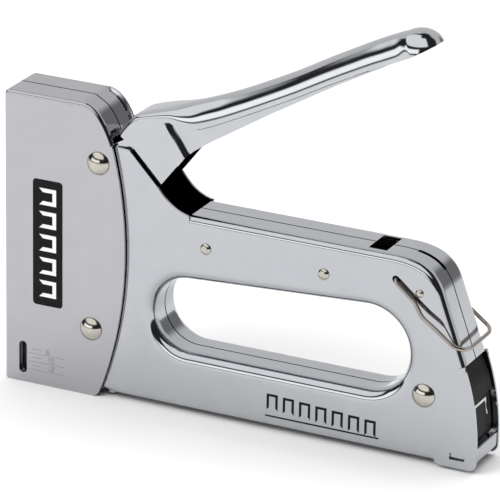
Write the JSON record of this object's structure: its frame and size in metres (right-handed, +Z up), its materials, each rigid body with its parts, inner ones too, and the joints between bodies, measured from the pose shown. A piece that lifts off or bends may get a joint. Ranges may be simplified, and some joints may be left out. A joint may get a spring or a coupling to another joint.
{
  "type": "staple gun",
  "caption": "Hand staple gun with a pressed steel body, looped grip, pivoting lever handle, spring-driven driver, wire handle bail and a staple rail that draws out of the tail.",
  "frame": {"origin": "middle of the footprint at the level of the nose foot", "axes": "+X from the nose to the tail, +Y to the tool's right side, +Z up from the foot to the handle"},
  "size_m": [0.1876, 0.0286, 0.1573],
  "materials": {
    "chromed_sheet": "bright chrome on pressed steel sheet",
    "chromed_handle": "bright chrome on a formed steel lever",
    "nickel_rivet": "polished nickel",
    "zinc_steel": "satin zinc plate",
    "bright_wire": "drawn bright wire",
    "spring_steel": "polished spring wire",
    "black_rubber": "moulded, dull",
    "black_plastic": "moulded, satin"
  },
  "bodies": {
    "frame": {"body_shell_left": "chromed_sheet", "body_shell_right": "chromed_sheet", "nose_cover_left": "chromed_sheet", "nose_cover_right": "chromed_sheet", "handle_pivot_rivet": "nickel_rivet", "nose_rivet": "nickel_rivet", "tail_rivet": "nickel_rivet", "grip_rivet_front": "nickel_rivet", "grip_rivet_rear": "nickel_rivet", "bail_stop_pin": "nickel_rivet", "handle_return_spring": "spring_steel", "main_spring": "spring_steel", "spring_cap": "zinc_steel", "hammer_guide": "zinc_steel", "rubber_stop": "black_rubber", "nose_foot_plate": "zinc_steel", "staple_track": "zinc_steel", "staple_strip": "bright_wire"},
    "handle": {"handle_lever": "chromed_handle", "lifting_arm": "zinc_steel"},
    "driver": {"hammer": "zinc_steel", "driver_blade": "zinc_steel"},
    "bail": {"handle_bail": "spring_steel"},
    "staple_drawer": {"staple_rail": "zinc_steel", "pusher_rod": "bright_wire", "pusher_spring": "spring_steel", "rail_end_cap": "black_plastic", "rail_latch_tab": "chromed_sheet"},
    "feed": {"pusher": "zinc_steel"}
  },
  "joints": [
    {"name": "handle_hinge", "type": "hinge", "parent": "frame", "child": "handle", "pos_m": [-0.05545, 0, 0.0903], "axis": [0, 1, 0], "range_deg": [0, 28], "stiffness_Nm_per_rad": 12, "springref_deg": -14.32, "deforming": ["handle_return_spring"]},
    {"name": "driver_lift", "type": "slide", "parent": "frame", "child": "driver", "axis": [0, 0, 1], "range_m": [0, 0.0143], "deforming": ["main_spring"]},
    {"name": "bail_hinge", "type": "hinge", "parent": "frame", "child": "bail", "pos_m": [0.06115, 0, 0.0678], "axis": [0, -1, 0], "range_deg": [0, 100]},
    {"name": "staple_drawer_slide", "type": "slide", "parent": "frame", "child": "staple_drawer", "axis": [1, 0, 0], "range_m": [0, 0.11]},
    {"name": "pusher_slide", "type": "slide", "parent": "staple_drawer", "child": "feed", "axis": [1, 0, 0], "range_m": [0, 0.085], "stiffness_N_per_m": 40, "springref_m": -0.08, "deforming": ["pusher_spring"]}
  ],
  "couplings": [
    {"joint": "driver_lift", "follows": "handle_hinge", "m_per_rad": 0.0292}
  ]
}
